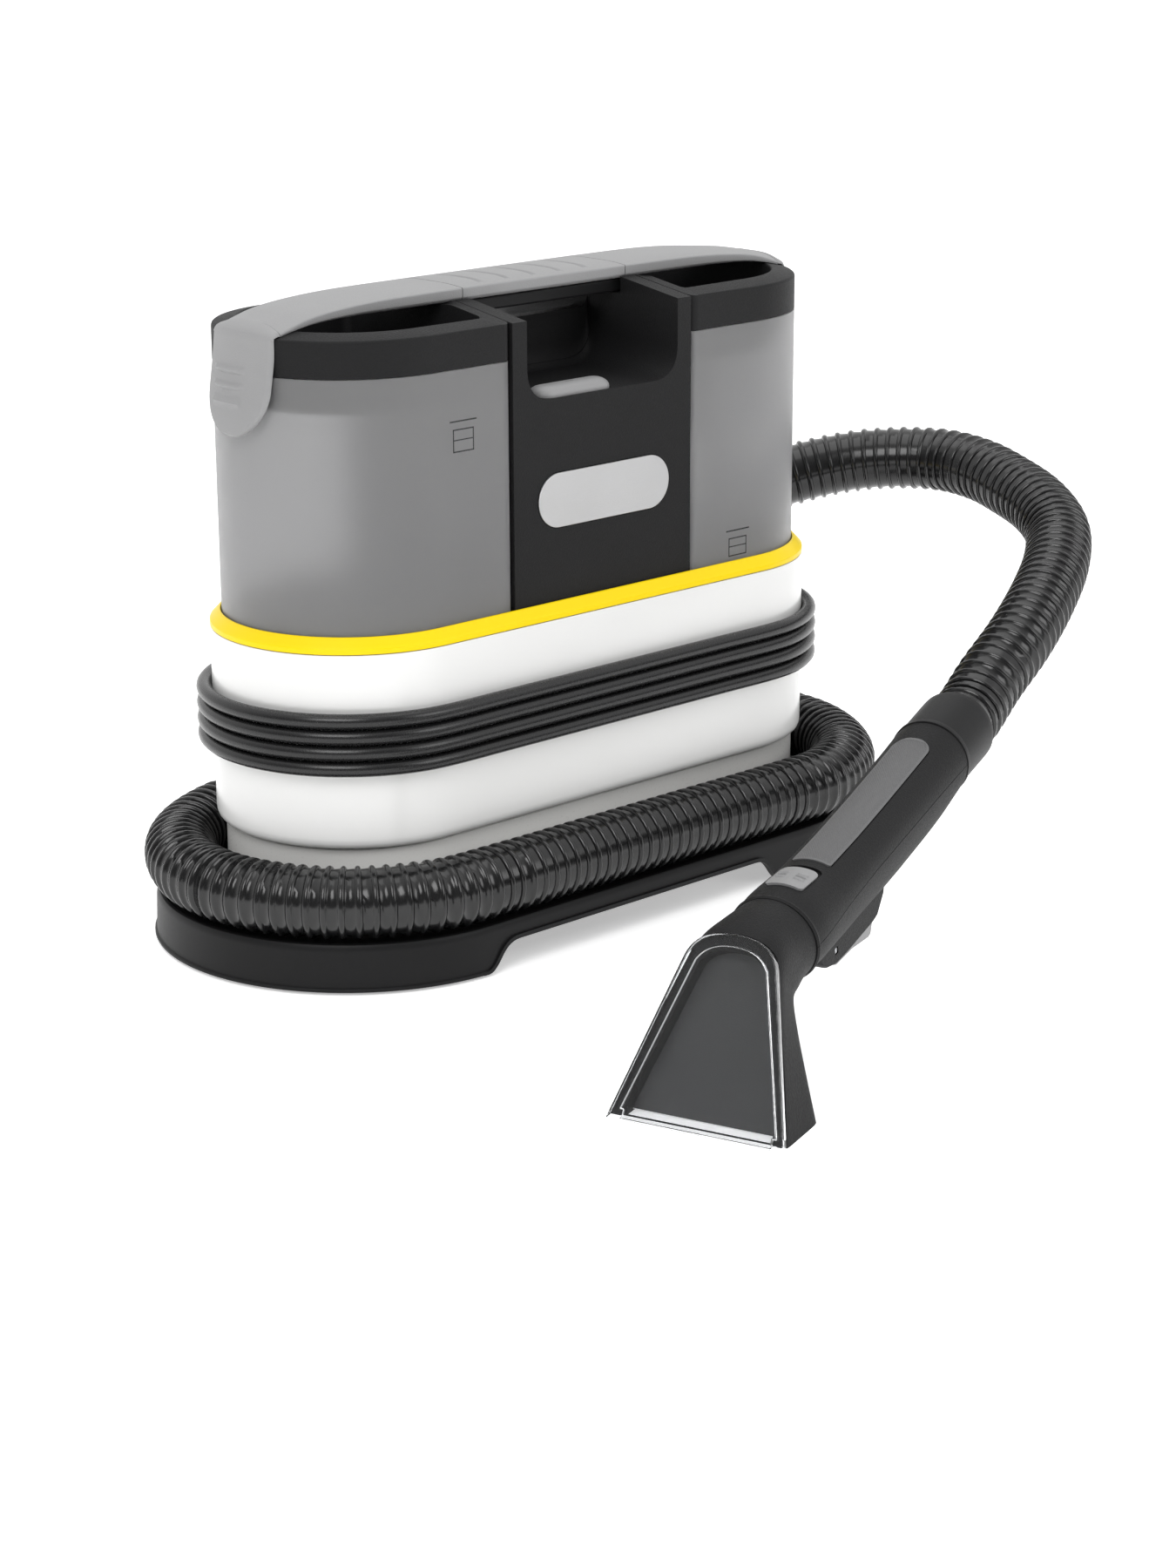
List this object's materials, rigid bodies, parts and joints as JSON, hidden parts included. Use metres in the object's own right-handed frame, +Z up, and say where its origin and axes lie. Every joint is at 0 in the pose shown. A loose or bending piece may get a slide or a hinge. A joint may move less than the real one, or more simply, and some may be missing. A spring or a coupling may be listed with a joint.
{
  "type": "spot extractor",
  "caption": "Compact spot extractor with two lift-out tanks, a carry handle, a wound mains cord and a stowed hose that ends in a hand tool with a clear suction nozzle.",
  "frame": {"origin": "on the floor, at the centre of the plan of the machine and its hand tool together, with the mains cord and the hose left out", "axes": "+X along the machine towards its dirty-water tank, +Y to its rear, away from the hand tool, +Z up"},
  "size_m": [0.5771, 0.4951, 0.3419],
  "materials": {
    "black_plastic": "fine satin black moulding",
    "grained_black": "fine grained matt black",
    "white_plastic": "gloss off-white moulding",
    "plinth_white": "gloss warm off-white moulding",
    "yellow_plastic": "satin bright yellow moulding",
    "grey_plastic": "fine textured mid grey",
    "smoke_clear": "frosted smoke-grey translucent moulding",
    "clear_plastic": "clear moulding",
    "badge_metal": "brushed",
    "soft_black": "satin black rubber",
    "hose_black": "gloss black corrugated hose",
    "steel": "machined",
    "board_green": "circuit board",
    "orange_plastic": "plain orange moulding"
  },
  "bodies": {
    "machine": {"base_tray": "black_plastic", "foot_front_left": "soft_black", "foot_front_right": "soft_black", "foot_rear_left": "soft_black", "foot_rear_right": "soft_black", "plinth_skirt": "plinth_white", "main_housing": "white_plastic", "trim_rim": "yellow_plastic", "tank_deck": "black_plastic", "exhaust_grille": "white_plastic", "motor_mount": "soft_black", "fan_housing": "black_plastic", "fan_motor": "steel", "fan_cover": "black_plastic", "intake_duct": "grey_plastic", "pump_body": "black_plastic", "control_board": "board_green", "column_front": "grained_black", "column_rear": "grained_black", "handle_core": "black_plastic", "carry_handle": "grey_plastic", "badge_plate": "badge_metal", "power_switch": "black_plastic", "hose_connector": "black_plastic", "suction_hose": "hose_black", "hose_cuff": "black_plastic", "strain_relief": "soft_black", "cord_lead": "soft_black", "cord_winding": "soft_black", "cord_tail": "soft_black", "cord_clip": "black_plastic", "mains_plug": "soft_black"},
    "fan_rotor": {"fan_impeller": "orange_plastic"},
    "pump_piston": {"pump_plunger": "steel"},
    "button": {"power_button": "grey_plastic"},
    "fresh_tank_unit": {"fresh_tank": "smoke_clear"},
    "fresh_lid_unit": {"fresh_lid": "grained_black", "fresh_lid_seal": "soft_black", "fresh_grip": "grey_plastic"},
    "fresh_flap": {"fresh_latch": "grey_plastic"},
    "fresh_outlet": {"fresh_valve": "grey_plastic"},
    "dirty_tank_unit": {"dirty_tank": "smoke_clear"},
    "dirty_lid_unit": {"dirty_lid": "grained_black", "dirty_lid_seal": "soft_black", "dirty_grip": "grey_plastic", "separator_box": "smoke_clear", "float_cage": "grey_plastic"},
    "dirty_flap": {"dirty_latch": "grey_plastic"},
    "float": {"float_ball": "orange_plastic"},
    "hand_tool": {"handle_upper": "grained_black", "handle_lower": "grained_black", "grip_inlay": "grey_plastic", "trigger_pin": "steel", "spray_valve": "black_plastic"},
    "trigger_lever": {"trigger": "grey_plastic"},
    "spray_piston": {"valve_plunger": "steel"},
    "nozzle_catch": {"release_latch": "grey_plastic"},
    "nozzle": {"nozzle_body": "black_plastic", "nozzle_cover": "clear_plastic", "spray_tip": "steel"}
  },
  "joints": [
    {"name": "fan_spin", "type": "hinge", "parent": "machine", "child": "fan_rotor", "pos_m": [0.03, 0.12654, 0.1], "axis": [0, 0, 1], "continuous": true},
    {"name": "pump_stroke", "type": "slide", "parent": "machine", "child": "pump_piston", "axis": [1, 0, 0], "range_m": [0, 0.004], "stiffness_N_per_m": 400},
    {"name": "power_press", "type": "slide", "parent": "machine", "child": "button", "axis": [0, 0, -1], "range_m": [0, 0.0025], "stiffness_N_per_m": 600, "springref_m": -0.0005},
    {"name": "fresh_tank_lift", "type": "slide", "parent": "machine", "child": "fresh_tank_unit", "axis": [0, 0, 1], "range_m": [0, 0.18]},
    {"name": "fresh_lid_lift", "type": "slide", "parent": "fresh_tank_unit", "child": "fresh_lid_unit", "axis": [0, 0, 1], "range_m": [0, 0.06]},
    {"name": "fresh_flap_hinge", "type": "hinge", "parent": "fresh_lid_unit", "child": "fresh_flap", "pos_m": [-0.1783, 0.12654, 0.334], "axis": [0, 1, 0], "range_deg": [0, 12], "stiffness_Nm_per_rad": 0.1},
    {"name": "fresh_outlet_slide", "type": "slide", "parent": "fresh_tank_unit", "child": "fresh_outlet", "axis": [0, 0, 1], "range_m": [0, 0.003], "stiffness_N_per_m": 150, "springref_m": -0.0005},
    {"name": "dirty_tank_lift", "type": "slide", "parent": "machine", "child": "dirty_tank_unit", "axis": [0, 0, 1], "range_m": [0, 0.18]},
    {"name": "dirty_lid_lift", "type": "slide", "parent": "dirty_tank_unit", "child": "dirty_lid_unit", "axis": [0, 0, 1], "range_m": [0, 0.07]},
    {"name": "dirty_flap_hinge", "type": "hinge", "parent": "dirty_lid_unit", "child": "dirty_flap", "pos_m": [0.1783, 0.12654, 0.334], "axis": [0, -1, 0], "range_deg": [0, 12], "stiffness_Nm_per_rad": 0.1},
    {"name": "float_rise", "type": "slide", "parent": "dirty_lid_unit", "child": "float", "axis": [0, 0, 1], "range_m": [0, 0.016]},
    {"name": "tool_swivel", "type": "hinge", "parent": "machine", "child": "hand_tool", "pos_m": [0.07765, -0.10945, 0.10605], "axis": [0.9273, 0.3199, 0.1942], "range_deg": [-90, 90]},
    {"name": "trigger_pull", "type": "hinge", "parent": "hand_tool", "child": "trigger_lever", "pos_m": [-0.0628, -0.15789, 0.04809], "axis": [0.3261, -0.9453, 0], "range_deg": [0, 8], "stiffness_Nm_per_rad": 0.8, "springref_deg": -1.72},
    {"name": "spray_piston_slide", "type": "slide", "parent": "hand_tool", "child": "spray_piston", "axis": [-0.1836, -0.0633, 0.981], "range_m": [0, 0.005]},
    {"name": "nozzle_catch_slide", "type": "slide", "parent": "hand_tool", "child": "nozzle_catch", "axis": [0.9273, 0.3199, 0.1942], "range_m": [0, 0.0035], "stiffness_N_per_m": 400, "springref_m": -0.0005},
    {"name": "nozzle_pull_off", "type": "slide", "parent": "hand_tool", "child": "nozzle", "axis": [-0.9273, -0.3199, -0.1942], "range_m": [0, 0.022]}
  ],
  "couplings": [
    {"joint": "spray_piston_slide", "follows": "trigger_pull", "m_per_rad": 0.033}
  ]
}
